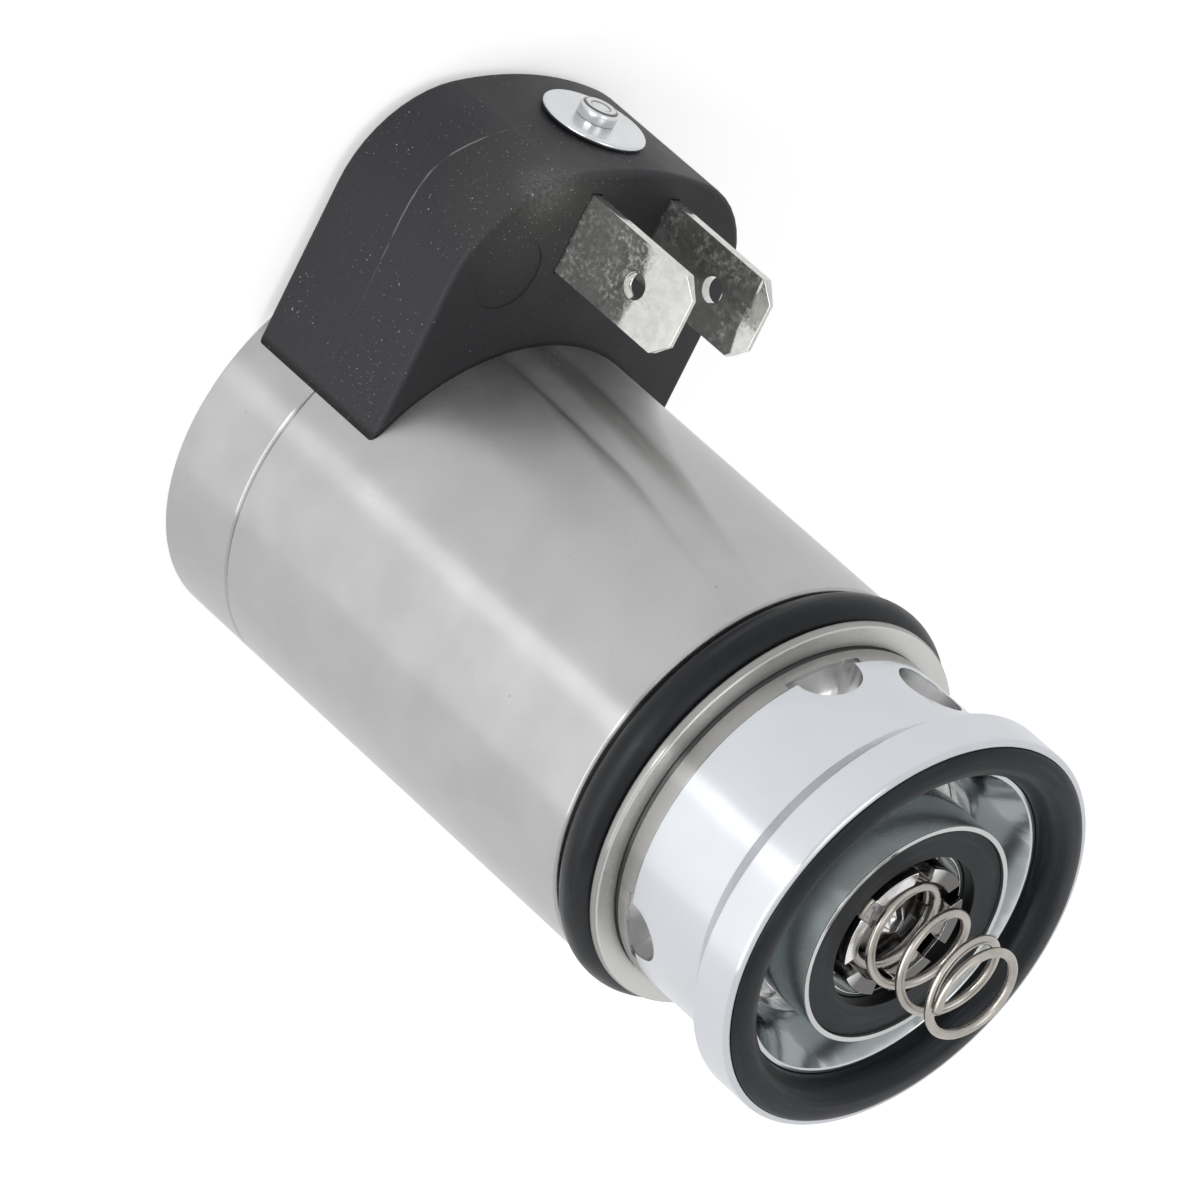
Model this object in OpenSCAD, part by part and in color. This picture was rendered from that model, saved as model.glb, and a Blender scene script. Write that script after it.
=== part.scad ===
// Solenoid valve for an air brake system: a push-type solenoid in a steel can, with a poppet valve in an
// aluminium sleeve at its front. Millimetres. The axis is Z, the rear face lies at z = 0 and the sleeve
// points to +Z. The terminal hood stands on the -Y side.

/* [Coil can] */
// Outside diameter of the can and of the rear cap
can_d = 32; // [30:0.5:36]
// Wall thickness of the can
can_wall = 2; // [1.5:0.1:2.4]
// Length of the rear cap
cap_l = 7.2; // [6.4:0.1:8]
// Thickness of the rear cap's end plate
cap_floor = 3; // [2.5:0.1:3.6]
// Length of the can in front of the rear cap
can_l = 37.3; // [34:0.1:44]
// Chamfer on the edges of the can and of the rear cap
edge_break = 0.2; // [0.15:0.05:0.5]
// Length of the rear cap's register inside the can
register_l = 1.5; // [1:0.1:2.5]
// Wall thickness of the rear cap's register
register_wall = 1; // [0.7:0.1:1.2]

/* [Front plate] */
// Radial step from the can in to the plate's flange
plate_inset = 0.35; // [0.2:0.05:0.9]
// Thickness of the plate's flange
plate_t = 0.75; // [0.6:0.05:1.5]
// Chamfer on the plate's outer edge
plate_chamfer = 0.15; // [0.1:0.05:0.25]
// Width of the O-ring gland between the can and the plate's flange
gland_w = 3.25; // [3:0.05:4]
// Height by which the body O-ring stands proud of the can
oring_proud = 0.5; // [0.2:0.05:0.8]
// Side play of the body O-ring in its gland
oring_play = 0.1; // [0.06:0.02:0.2]
// Length of the plate's spigot inside the can
plate_spigot_l = 2; // [1.5:0.1:3]
// Height of the boss in front of the plate's flange
boss_h = 1.8; // [1.2:0.1:2.4]
// Radial depth of the undercut at the foot of the boss
undercut = 0.25; // [0.1:0.05:0.4]
// Width of the undercut at the foot of the boss
undercut_w = 0.45; // [0.2:0.05:0.6]
// Length of the ring on which the sleeve is pressed
press_ring_l = 5; // [4.6:0.1:5.4]
// Wall thickness of the ring on which the sleeve is pressed
press_ring_wall = 1.5; // [1:0.1:2]
// Diameter of the press ring's windows behind the ports
window_d = 2; // [1.4:0.1:2.2]
// Height of the sill under the outer windows
window_sill = 0.3; // [0.2:0.05:0.6]
// Width of the boss's notches at the outer ports
notch_w = 6.4; // [5.8:0.1:7]
// Depth of the boss's notches towards the axis
notch_depth = 3; // [2:0.1:3.4]
// Depth of the boss's notches along the axis
notch_drop = 0.5; // [0.3:0.05:0.6]

/* [Valve sleeve] */
// Radial step from the can in to the sleeve's neck
neck_inset = 1.95; // [1.6:0.05:2.6]
// Wall thickness of the sleeve's neck
neck_wall = 4.05; // [3.6:0.05:4.3]
// Length of the neck behind the flare
neck_l = 7.3; // [7:0.1:10]
// Radial step from the can in to the sleeve's flange
flange_inset = 0.15; // [0.1:0.05:0.5]
// Length of the flange in front of the flare
flange_l = 3.4; // [3:0.1:5]
// Radius on the flange's front edge
flange_edge_r = 0.35; // [0.2:0.05:0.4]
// Thickness of the lip round the flange seal
flange_lip = 0.5; // [0.4:0.05:0.7]
// Width of the flange seal's groove
seal_groove_w = 2.8; // [2.4:0.1:3]
// Depth of the flange seal's groove
seal_groove_depth = 2.8; // [2.4:0.1:3.2]
// Depth from the front face to the edge inside the flange seal
inner_edge_depth = 1.6; // [1.2:0.1:2.2]
// Thickness of the metal edge inside the flange seal
inner_edge_t = 0.35; // [0.25:0.05:0.6]
// Length of the cone from that edge down to the sleeve's bore
cone_l = 3.8; // [3:0.1:4.4]
// Height by which the flange seal stands proud of the front face
flange_seal_proud = 0.4; // [0.2:0.05:0.6]

/* [Ports] */
// Diameter of the radial ports
port_d = 5; // [4:0.1:5.6]
// Distance of the middle ports from the neck's rear end
port_mid_z = 3.1; // [2.9:0.1:3.5]
// Angle of the middle ports off the middle of their group
port_mid_turn = 7; // [0:1:10]
// Angle of the outer ports from the middle of their group
port_pitch = 38; // [34:1:50]
// Angle of the first group of ports from the hood
port_turn = -17; // [-30:1:30]

/* [Poppet] */
// Radial gap between the poppet and the sleeve's bore
poppet_gap = 1.12; // [0.6:0.02:1.6]
// Height of the poppet cup
poppet_h = 4.9; // [4.4:0.1:5.2]
// Distance of the poppet's lip behind the sleeve's front face
poppet_set = 0.1; // [0:0.05:0.4]
// Thickness of the poppet's lip
poppet_lip = 0.4; // [0.3:0.05:0.6]
// Thickness of the poppet's floor
poppet_floor = 1.2; // [1:0.1:1.4]
// Distance of the rubber face behind the poppet's lip
rubber_set = 0.3; // [0.1:0.05:0.6]
// Width of the poppet's rubber ring
rubber_w = 2.3; // [1.8:0.1:2.5]
// Thickness of the eyelet inside the rubber ring
eyelet_t = 0.35; // [0.25:0.05:0.4]
// Distance of the eyelet's edge behind the rubber face
eyelet_set = 1.1; // [0.6:0.1:1.6]
// Radial gap between the eyelet and the crown nut
crown_gap = 0.6; // [0.3:0.05:0.7]
// Wall thickness of the crown nut
crown_wall = 1.1; // [0.8:0.05:1.2]
// Thickness of the crown nut's base
crown_base = 1.3; // [0.6:0.1:1.5]
// Number of slots in the crown nut
crown_slots = 6; // [4:1:8]
// Angle by which the crown nut is turned
crown_turn = 10; // [0:5:55]
// Width of the crown nut's slots
crown_slot_w = 1.5; // [0.8:0.1:1.8]
// Depth of the crown nut's slots
crown_slot_depth = 1.7; // [1.2:0.1:1.8]

/* [Return spring] */
// Wire diameter of the return spring
wire_d = 0.7; // [0.5:0.05:0.8]
// Radial gap between the return spring and the crown nut
spring_gap = 0.2; // [0.15:0.05:0.4]
// Number of open turns
spring_turns = 2.5; // [2:0.25:3.5]
// Rise of each open turn
spring_pitch = 3.15; // [2.4:0.05:3.6]
// Number of closed turns at each end
end_turns = 1; // [0.75:0.25:1.25]
// Angle at which the wire starts
spring_turn = 200; // [0:5:355]

/* [Solenoid] */
// Travel of the armature
stroke = 1.7; // [1:0.1:2]
// Length of the armature
armature_l = 18; // [14:0.5:20]
// Bore of the guide tube
tube_bore = 11.2; // [10:0.1:11.6]
// Wall thickness of the guide tube
tube_wall = 0.5; // [0.4:0.05:0.6]
// Length of the guide tube over the pole core
tube_overlap = 6; // [4:0.5:8]
// Thickness of the pad behind the armature
bumper_t = 1; // [0.8:0.1:1.5]
// Gap left between the armature and the pole core at full travel
residual_gap = 0.3; // [0.2:0.05:0.5]
// Gap between the armature and its pad at rest
rest_gap = 0.1; // [0.05:0.05:0.2]
// Diameter of the push pin
pin_d = 3; // [2.6:0.1:3.4]
// Diameter of the push pin's front end
pin_end_d = 2.4; // [2:0.1:2.5]
// Height of the push pin's front end above the crown nut's base
pin_stand = 1.3; // [0.2:0.1:1.5]
// Depth of the push pin in the armature
pin_hold = 14; // [8:0.5:15]
// Thickness of the bobbin's flanges
bobbin_flange_t = 1.2; // [1:0.1:1.5]
// Wall thickness of the bobbin's barrel
bobbin_wall = 1; // [0.8:0.1:1.2]
// Radial space between the can's bore and the wrapped winding
coil_space = 2.2; // [2:0.1:2.6]
// Thickness of the tape round the winding
tape_t = 0.3; // [0.2:0.05:0.5]
// Wire thickness of the O-ring on the pole core
core_seal_w = 1.5; // [1.2:0.1:1.8]
// Width and depth of the air grooves along the armature
air_groove = 0.9; // [0.6:0.1:1.2]

/* [Terminal hood] */
// Height of the hood above the can
hood_h = 14.2; // [13:0.1:17]
// Width of the hood
hood_w = 28.4; // [24:0.1:29]
// Distance of the hood's rear face from the rear cap's end
hood_z = 0.7; // [0.4:0.1:1.5]
// Length of the hood along the can
hood_l = 13.2; // [12.6:0.1:15]
// Radius of the hood's shoulders
shoulder_r = 9; // [7:0.1:10]
// Rounding of the hood's edges
hood_edge_r = 0.5; // [0.3:0.1:1.2]
// Width of the hood's stem through the can's window
stem_w = 11.2; // [10.6:0.1:12]
// Distance from the seam to the stem
stem_step = 0.4; // [0.2:0.1:0.8]
// Length of the stem along the can
stem_l = 4; // [3.6:0.1:4.4]
// Play of the stem in the can's window
window_play = 0.1; // [0.05:0.05:0.2]
// Radius of the ejector marks on the hood's front face
mark_r = 2.9; // [2:0.1:3.4]
// Distance of the ejector marks from the middle
mark_x = 9; // [8.6:0.1:10]
// Distance of the ejector marks below the hood's top
mark_drop = 8.7; // [8.2:0.1:10]
// Depth of the ejector marks
mark_depth = 0.08; // [0.05:0.01:0.3]

/* [Terminals] */
// Width of the blade tabs
tab_w = 6.3; // [4.8:0.1:6.5]
// Thickness of the blade tabs
tab_t = 0.8; // [0.5:0.1:1]
// Free length of the blade tabs
tab_l = 11.65; // [8:0.05:13]
// Spacing of the two blade tabs
tab_pitch = 8.1; // [7:0.1:8.6]
// Height of the tabs' middle above the can
tab_rise = 9; // [8:0.1:9.4]
// Corner chamfer of the blade tabs
tab_chamfer = 1.3; // [0.6:0.1:1.6]
// Length of the bevels at the tabs' tips
tab_bevel_l = 1.5; // [0.8:0.1:2]
// Depth of the bevels at the tabs' tips
tab_bevel = 0.22; // [0.1:0.01:0.24]
// Diameter of the hole in the tabs
tab_hole_d = 1.9; // [1.4:0.1:2.2]
// Distance of the hole from the tab's tip
tab_hole_tip = 4.9; // [3.5:0.1:6]
// Width of the legs inside the hood
leg_w = 2.4; // [1.8:0.1:2.8]
// Gap beside the tabs' flat sides at the hood's face
mouth_gap = 0.15; // [0.1:0.05:0.45]
// Gap at the tabs' edges at the hood's face
mouth_end_gap = 0.1; // [0.08:0.02:0.3]
// Depth of those gaps
mouth_depth = 1.5; // [1:0.1:2]

/* [Hood rivet] */
// Distance of the rivet in front of the hood's middle
rivet_shift = 0.3; // [-1:0.1:1]
// Diameter of the washer
washer_d = 7.9; // [7:0.1:9]
// Thickness of the washer
washer_t = 0.5; // [0.3:0.05:0.8]
// Diameter of the flat pad under the washer
pad_d = 6; // [5:0.1:6.4]
// Diameter of the rivet's shank
rivet_d = 2.2; // [1.6:0.1:2.4]
// Diameter of the rivet's head
rivet_head_d = 2.9; // [2.7:0.1:3.6]
// Height of the rivet's head
rivet_head_h = 1; // [0.5:0.05:1.2]
// Depth of the rivet in the hood
rivet_l = 8; // [5:0.5:9]

/* [Fits] */
// Radial gap between pieces that are pressed or laid together
fit_gap = 0.03; // [0.02:0.01:0.06]
// Radial gap between pieces that slide
slide_gap = 0.06; // [0.04:0.01:0.1]

/* [Hidden] */
$fn = 96;
over = 1;
hull_fn = 48;
arc_steps = 6;
wire_sides = 8;
rings_per_turn = 28;

can_r = can_d / 2;
can_in_r = can_r - can_wall;
can_end = cap_l + can_l;
cap_in_r = can_in_r - fit_gap - register_wall;

plate_rear = can_end - plate_spigot_l;
flange_rear = can_end + gland_w;
plate_r = can_r - plate_inset;
boss_rear = flange_rear + plate_t;
sleeve_rear = boss_rear + boss_h;
oring_w = gland_w - oring_play;
oring_r = can_r + oring_proud - oring_w / 2;
gland_r = oring_r - oring_w / 2 - fit_gap;

neck_r = can_r - neck_inset;
bore_r = neck_r - neck_wall;
press_out_r = bore_r - fit_gap;
press_in_r = press_out_r - press_ring_wall;
press_front = sleeve_rear + press_ring_l;
flange_r = can_r - flange_inset;
flare_rear = sleeve_rear + neck_l;
flare_front = flare_rear + flange_r - neck_r;
front_z = flare_front + flange_l;
groove_out_r = flange_r - flange_lip;
groove_in_r = groove_out_r - seal_groove_w;
groove_z = front_z - seal_groove_depth;
inner_edge_z = front_z - inner_edge_depth;
cone_z = inner_edge_z - cone_l;

poppet_r = bore_r - poppet_gap;
lip_z = front_z - poppet_set;
poppet_rear = lip_z - poppet_h;
floor_z = poppet_rear + poppet_floor;
rubber_z = lip_z - rubber_set;
rubber_out_r = poppet_r - poppet_lip - fit_gap;
rubber_in_r = rubber_out_r - rubber_w;
eyelet_out_r = rubber_in_r - fit_gap;
eyelet_in_r = eyelet_out_r - eyelet_t;
eyelet_z = rubber_z - eyelet_set;
crown_out_r = eyelet_in_r - crown_gap;
crown_in_r = crown_out_r - crown_wall;
crown_base_z = floor_z + crown_base;

spring_r = crown_in_r - spring_gap - wire_d / 2;
closed_pitch = wire_d + fit_gap;
spring_total_turns = spring_turns + 2 * end_turns;
spring_rear = crown_base_z + wire_d / 2 + fit_gap;

tube_in_r = tube_bore / 2;
tube_out_r = tube_in_r + tube_wall;
armature_rear = cap_floor + bumper_t + rest_gap;
armature_front = armature_rear + armature_l;
pole_rear = armature_front + stroke + residual_gap;
tube_front = pole_rear + tube_overlap;
pin_r = pin_d / 2;
pin_rear = armature_front - pin_hold;
pin_tip = crown_base_z + pin_stand;
barrel_in_r = tube_out_r + fit_gap;
barrel_out_r = barrel_in_r + bobbin_wall;
tape_out_r = can_in_r - coil_space;
winding_r = tape_out_r - tape_t - fit_gap;
winding_rear = cap_floor + bobbin_flange_t;
winding_front = plate_rear - bobbin_flange_t;
core_seal_r = tube_out_r + fit_gap + core_seal_w / 2;

hood_top = can_r + hood_h;
hood_front = hood_z + hood_l;
shoulder_x = hood_w / 2 - shoulder_r;
shoulder_y = -sqrt(pow(hood_top - shoulder_r, 2) - pow(shoulder_x, 2));
shoulder_turn = atan2(shoulder_x, -shoulder_y);
stem_rear = cap_l + stem_step;
stem_in = tape_out_r + window_play;
window_w = stem_w + 2 * window_play;
tab_y = -can_r - tab_rise;
tab_tip = hood_front + tab_l;
leg_rear = stem_rear + (stem_l - leg_w) / 2;
leg_end = -stem_in - fit_gap;
pad_y = -hood_top;
rivet_z = hood_z + hood_l / 2 + rivet_shift;

// Points of an arc about [x, y], from angle a to angle b
function arc(x, y, r, a, b) =
    [for (i = [0 : arc_steps]) let (t = a + (b - a) * i / arc_steps) [x + r * cos(t), y + r * sin(t)]];

// A turned piece: its half outline as [radius, height] points
module turned(outline) {
    rotate_extrude() polygon(outline);
}

// A ring with square edges
module ring(r_in, r_out, z_rear, z_front) {
    turned([[r_in, z_rear], [r_out, z_rear], [r_out, z_front], [r_in, z_front]]);
}

// A round section swept about the axis
module torus(r_mid, z_mid, width) {
    rotate_extrude() translate([r_mid, z_mid]) circle(d = width);
}

// An outline with y and z points, spread evenly on both sides of the middle plane x
module upright(x, thickness, outline) {
    translate([x - thickness / 2, 0, 0]) rotate([90, 0, 90]) linear_extrude(thickness) polygon(outline);
}

// The window in the can's wall for the hood's stem
module stem_window() {
    translate([-window_w / 2, -can_r - over, stem_rear - window_play])
        cube([window_w, can_wall + register_wall + 2 * over, stem_l + 2 * window_play]);
}

module rear_cap() {
    color("#b4b7bb") difference() {
        turned([[0, 0], [can_r - edge_break, 0], [can_r, edge_break], [can_r, cap_l - edge_break],
            [can_r - edge_break, cap_l], [can_in_r - fit_gap, cap_l],
            [can_in_r - fit_gap, cap_l + register_l], [cap_in_r, cap_l + register_l],
            [cap_in_r, cap_floor], [0, cap_floor]]);
        stem_window();
    }
}

module coil_can() {
    color("#bcc0c4") difference() {
        turned([[can_in_r, cap_l], [can_r - edge_break, cap_l], [can_r, cap_l + edge_break],
            [can_r, can_end - edge_break], [can_r - edge_break, can_end], [can_in_r, can_end]]);
        stem_window();
    }
}

// A flat disc with a rounded rim, as long as the hood
module hood_disc(r) {
    rotate_extrude($fn = hull_fn) hood_section(0, r);
}

module hood_section(r_in, r_out) {
    e = hood_edge_r;
    polygon(concat([[r_in, hood_z]], arc(r_out - e, hood_z + e, e, -90, 0),
        arc(r_out - e, hood_front - e, e, 0, 90), [[r_in, hood_front]]));
}

// The hood's outer form: two shoulders, a top concentric with the can, and sides that run down to the can
module hood_form() {
    hull() {
        for (side = [-1, 1]) {
            translate([side * shoulder_x, shoulder_y, 0]) hood_disc(shoulder_r);
            translate([side * shoulder_x, -can_in_r / 2, 0]) hood_disc(shoulder_r);
        }
        rotate([0, 0, -90 - shoulder_turn]) rotate_extrude(angle = 2 * shoulder_turn, $fn = 4 * hull_fn)
            hood_section(hood_top - shoulder_r, hood_top);
    }
}

// One blade tab with the leg that runs in to the coil, grown by a gap on every side. The leg reaches further
// by a given length
module blade(x, gap, reach) {
    half = tab_w / 2 + gap;
    c = tab_chamfer;
    tip = tab_tip + gap;
    thickness = tab_t + 2 * gap;
    leg_front = leg_rear + leg_w + gap;
    difference() {
        upright(x, thickness, [[tab_y - half, leg_rear - gap], [leg_end + reach, leg_rear - gap],
            [leg_end + reach, leg_front], [tab_y + half, leg_front], [tab_y + half, tip - c],
            [tab_y + half - c, tip], [tab_y - half + c, tip], [tab_y - half, tip - c]]);
        for (side = [-1, 1])
            translate([x, tab_y + tab_w, 0]) rotate([90, 0, 0]) linear_extrude(2 * tab_w)
                polygon([[side * thickness / 2, tip - tab_bevel_l], [side * thickness, tip - tab_bevel_l],
                    [side * thickness, tip + over], [side * (thickness / 2 - tab_bevel), tip + over],
                    [side * (thickness / 2 - tab_bevel), tip]]);
    }
}

module terminal(side) {
    x = side * tab_pitch / 2;
    color("#c9c8c4") difference() {
        blade(x, 0, 0);
        translate([x - tab_t, tab_y, tab_tip - tab_hole_tip]) rotate([0, 90, 0])
            cylinder(d = tab_hole_d, h = 2 * tab_t);
    }
}

module terminal_hood() {
    color("#3c3d40") difference() {
        union() {
            difference() {
                hood_form();
                translate([0, 0, -over]) cylinder(r = can_r + fit_gap, h = hood_front + 2 * over);
            }
            translate([-stem_w / 2, -can_r - hood_edge_r, stem_rear])
                cube([stem_w, can_r + hood_edge_r - stem_in, stem_l]);
            translate([0, pad_y, rivet_z]) rotate([-90, 0, 0])
                cylinder(d = pad_d, h = hood_edge_r);
        }
        for (side = [-1, 1]) {
            blade(side * tab_pitch / 2, fit_gap, over);
            translate([side * tab_pitch / 2, tab_y, hood_front + over / 2])
                cube([tab_t + 2 * mouth_gap, tab_w + 2 * mouth_end_gap, 2 * mouth_depth + over],
                    center = true);
            translate([side * mark_x, mark_drop - hood_top, hood_front - mark_depth])
                cylinder(r = mark_r, h = over);
        }
        translate([0, pad_y - over, rivet_z]) rotate([-90, 0, 0])
            cylinder(d = rivet_d + 2 * fit_gap, h = rivet_l + over);
    }
}

module terminal_left() {
    terminal(1);
}

module terminal_right() {
    terminal(-1);
}

// A turned piece whose axis points out of the hood's top, with its foot on the pad
module on_hood() {
    translate([0, pad_y, rivet_z]) rotate([90, 0, 0]) children();
}

module rivet_washer() {
    e = washer_t / 2;
    r = washer_d / 2;
    color("#d4d4d2") on_hood() turned(concat([[rivet_d / 2 + fit_gap, 0]], arc(r - e, e, e, -90, 90),
        [[rivet_d / 2 + fit_gap, washer_t]]));
}

module hood_rivet() {
    r = rivet_head_d / 2;
    e = r - rivet_d / 2;
    h = washer_t + rivet_head_h;
    color("#cfcfcc") on_hood() turned(concat([[0, fit_gap - rivet_l], [rivet_d / 2, fit_gap - rivet_l],
        [rivet_d / 2, washer_t], [r, washer_t]], arc(r - e, h - e, e, 0, 90),
        [[r - e - rivet_head_h / 4, h], [0, h - rivet_head_h / 2]]));
}

module bumper_pad() {
    color("#2c2c2e") ring(0, tube_in_r - fit_gap, cap_floor, cap_floor + bumper_t);
}

module guide_tube() {
    color("#c8a24a") ring(tube_in_r, tube_out_r, cap_floor, tube_front);
}

// The seal lies in a recess in the rear of the front plate
module core_seal() {
    color("#262628") torus(core_seal_r, plate_rear + core_seal_w / 2 + fit_gap, core_seal_w);
}

module coil_bobbin() {
    color("#e6dcc0") turned([[barrel_in_r, cap_floor], [cap_in_r - fit_gap, cap_floor],
        [cap_in_r - fit_gap, winding_rear], [barrel_out_r, winding_rear], [barrel_out_r, winding_front],
        [cap_in_r - fit_gap, winding_front], [cap_in_r - fit_gap, plate_rear], [barrel_in_r, plate_rear]]);
}

module coil_winding() {
    color("#b8682e") ring(barrel_out_r + fit_gap, winding_r, winding_rear, winding_front);
}

module winding_tape() {
    color("#d8b23c") ring(winding_r + fit_gap, tape_out_r, winding_rear, winding_front);
}

// The core is stepped: its rear part fills the guide tube, its front part the bobbin and the plate
module pole_core() {
    color("#9a9c9e") turned([[pin_r + slide_gap, pole_rear], [tube_in_r - fit_gap, pole_rear],
        [tube_in_r - fit_gap, tube_front + fit_gap], [tube_out_r, tube_front + fit_gap],
        [tube_out_r, sleeve_rear], [pin_r + slide_gap, sleeve_rear]]);
}

// Places what it holds at the ports: two opposite groups of three. The outer ports of a group lie on the
// neck's rear end, and the middle port lies further forward
module at_ports(outer) {
    for (half = [0, 180], turn = outer ? [-port_pitch, port_pitch] : [port_mid_turn])
        rotate([0, 0, port_turn + half + turn])
            translate([0, 0, sleeve_rear + (outer ? 0 : port_mid_z)]) children();
}

// A hole that runs outwards from inside the press ring
module port_hole(d) {
    translate([0, over - press_in_r, 0]) rotate([90, 0, 0]) cylinder(d = d, h = can_r);
}

module ports() {
    for (outer = [true, false])
        at_ports(outer) port_hole(port_d);
}

// The windows in the press ring behind the ports, and the notches in the boss at the outer ports
module port_cuts() {
    at_ports(false) port_hole(window_d);
    at_ports(true) {
        translate([0, 0, window_sill + window_d / 2]) port_hole(window_d);
        translate([-notch_w / 2, -can_r, -notch_drop])
            cube([notch_w, neck_inset + notch_depth, notch_drop + over]);
    }
}

module front_plate() {
    seat_r = tube_out_r + fit_gap;
    seal_seat_r = core_seal_r + core_seal_w / 2 + fit_gap;
    seal_seat_z = plate_rear + core_seal_w + 2 * fit_gap;
    c = plate_chamfer;
    color("#a19d95") difference() {
        turned([[seat_r, seal_seat_z], [seal_seat_r, seal_seat_z], [seal_seat_r, plate_rear],
            [can_in_r - fit_gap, plate_rear], [can_in_r - fit_gap, can_end], [gland_r, can_end],
            [gland_r, flange_rear], [plate_r - c, flange_rear], [plate_r, flange_rear + c],
            [plate_r, boss_rear - c], [plate_r - c, boss_rear], [neck_r - undercut, boss_rear],
            [neck_r - undercut, boss_rear + undercut_w], [neck_r, boss_rear + undercut_w],
            [neck_r, sleeve_rear], [press_out_r, sleeve_rear], [press_out_r, press_front],
            [press_in_r, press_front], [press_in_r, sleeve_rear], [seat_r, sleeve_rear]]);
        port_cuts();
    }
}

module body_oring() {
    color("#2a2a2c") torus(oring_r, can_end + gland_w / 2, oring_w);
}

module valve_sleeve() {
    e = flange_edge_r;
    inner_r = groove_in_r - inner_edge_t;
    color("#d5dadd") difference() {
        turned(concat([[bore_r, sleeve_rear], [neck_r, sleeve_rear], [neck_r, flare_rear],
            [flange_r, flare_front]], arc(flange_r - e, front_z - e, e, 0, 90),
            [[groove_out_r, front_z], [groove_out_r, groove_z], [groove_in_r, groove_z],
            [groove_in_r, inner_edge_z], [inner_r, inner_edge_z], [bore_r, cone_z]]));
        ports();
    }
}

// The ring has an upright outer side and a rounded face that falls away to the inside
module flange_seal() {
    out_r = groove_out_r - fit_gap;
    in_r = groove_in_r + fit_gap;
    foot = groove_z + fit_gap;
    half_w = (out_r - in_r) / 2;
    crest_r = in_r + half_w;
    side_h = front_z + flange_seal_proud - inner_edge_z;
    color("#2b2b2d") turned(concat([[in_r, foot], [out_r, foot]],
        [for (p = arc(0, 0, 1, 0, 90)) [crest_r + half_w * p[0], front_z + flange_seal_proud * p[1]]],
        [for (p = arc(0, 0, 1, 90, 180)) [crest_r + half_w * p[0], inner_edge_z + side_h * p[1]]]));
}

module armature() {
    r = tube_in_r - slide_gap;
    color("#8f9194") difference() {
        ring(0, r, armature_rear, armature_front);
        translate([0, 0, pin_rear]) cylinder(r = pin_r + fit_gap, h = pin_hold + over);
        for (side = [0, 180])
            rotate([0, 0, side]) translate([r - air_groove, -air_groove / 2, armature_rear - over])
                cube([air_groove + over, air_groove, armature_l + 2 * over]);
    }
}

// The front end is thinner: the poppet and the crown nut are clamped on it
module push_pin() {
    end_r = pin_end_d / 2;
    slot_w = pin_end_d / 4;
    color("#c4c6c8") difference() {
        turned([[0, pin_rear], [pin_r, pin_rear], [pin_r, poppet_rear], [end_r, poppet_rear],
            [end_r, pin_tip - end_r / 2], [end_r / 2, pin_tip], [0, pin_tip]]);
        translate([-slot_w / 2, -pin_r, pin_tip - end_r]) cube([slot_w, pin_d, pin_d]);
    }
}

module poppet() {
    hole_r = pin_end_d / 2 + fit_gap;
    lip_in_r = poppet_r - poppet_lip;
    color("#c9ccce") turned([[hole_r, poppet_rear], [poppet_r, poppet_rear], [poppet_r, lip_z],
        [lip_in_r, lip_z], [lip_in_r, floor_z], [eyelet_out_r, floor_z], [eyelet_out_r, eyelet_z],
        [eyelet_in_r, eyelet_z], [eyelet_in_r, floor_z], [hole_r, floor_z]]);
}

module poppet_seal() {
    color("#323235") ring(rubber_in_r, rubber_out_r, floor_z, rubber_z);
}

module crown_nut() {
    color("#d8dadb") difference() {
        turned([[pin_end_d / 2 + fit_gap, floor_z], [crown_out_r, floor_z], [crown_out_r, rubber_z],
            [crown_in_r, rubber_z], [crown_in_r, crown_base_z], [pin_end_d / 2 + fit_gap, crown_base_z]]);
        for (i = [0 : crown_slots - 1])
            rotate([0, 0, crown_turn + (i + 0.5) * 360 / crown_slots])
                translate([crown_in_r / 2, -crown_slot_w / 2, rubber_z - crown_slot_depth])
                    cube([crown_out_r, crown_slot_w, crown_slot_depth + over]);
    }
}

// Height of the wire's middle after a number of turns: closed turns, open turns, closed turns
function wire_z(turn) = spring_rear + closed_pitch * turn
    + (spring_pitch - closed_pitch) * min(max(turn - end_turns, 0), spring_turns);

// One ring of points round the wire
function wire_ring(turn) = let (a = spring_turn + 360 * turn)
    [for (i = [0 : wire_sides - 1])
        let (b = 360 * i / wire_sides, r = spring_r + wire_d / 2 * cos(b))
            [r * cos(a), r * sin(a), wire_z(turn) + wire_d / 2 * sin(b)]];

module return_spring() {
    n = ceil(spring_total_turns * rings_per_turn);
    points = [for (i = [0 : n]) each wire_ring(spring_total_turns * i / n)];
    sides = [for (i = [0 : n - 1], j = [0 : wire_sides - 1])
        let (a = i * wire_sides + j, b = i * wire_sides + (j + 1) % wire_sides)
            each [[a, a + wire_sides, b], [b, a + wire_sides, b + wire_sides]]];
    rear = [for (j = [0 : wire_sides - 1]) j];
    front = [for (j = [wire_sides - 1 : -1 : 0]) n * wire_sides + j];
    color("#b9b3a8") polyhedron(points, concat(sides, [rear, front]));
}

rear_cap();
coil_can();
terminal_hood();
terminal_left();
terminal_right();
rivet_washer();
hood_rivet();
bumper_pad();
guide_tube();
core_seal();
coil_bobbin();
coil_winding();
winding_tape();
pole_core();
front_plate();
body_oring();
valve_sleeve();
flange_seal();
armature();
push_pin();
poppet();
poppet_seal();
crown_nut();
return_spring();
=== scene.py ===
import math

import bmesh
import bpy
from mathutils import Matrix, Vector


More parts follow.
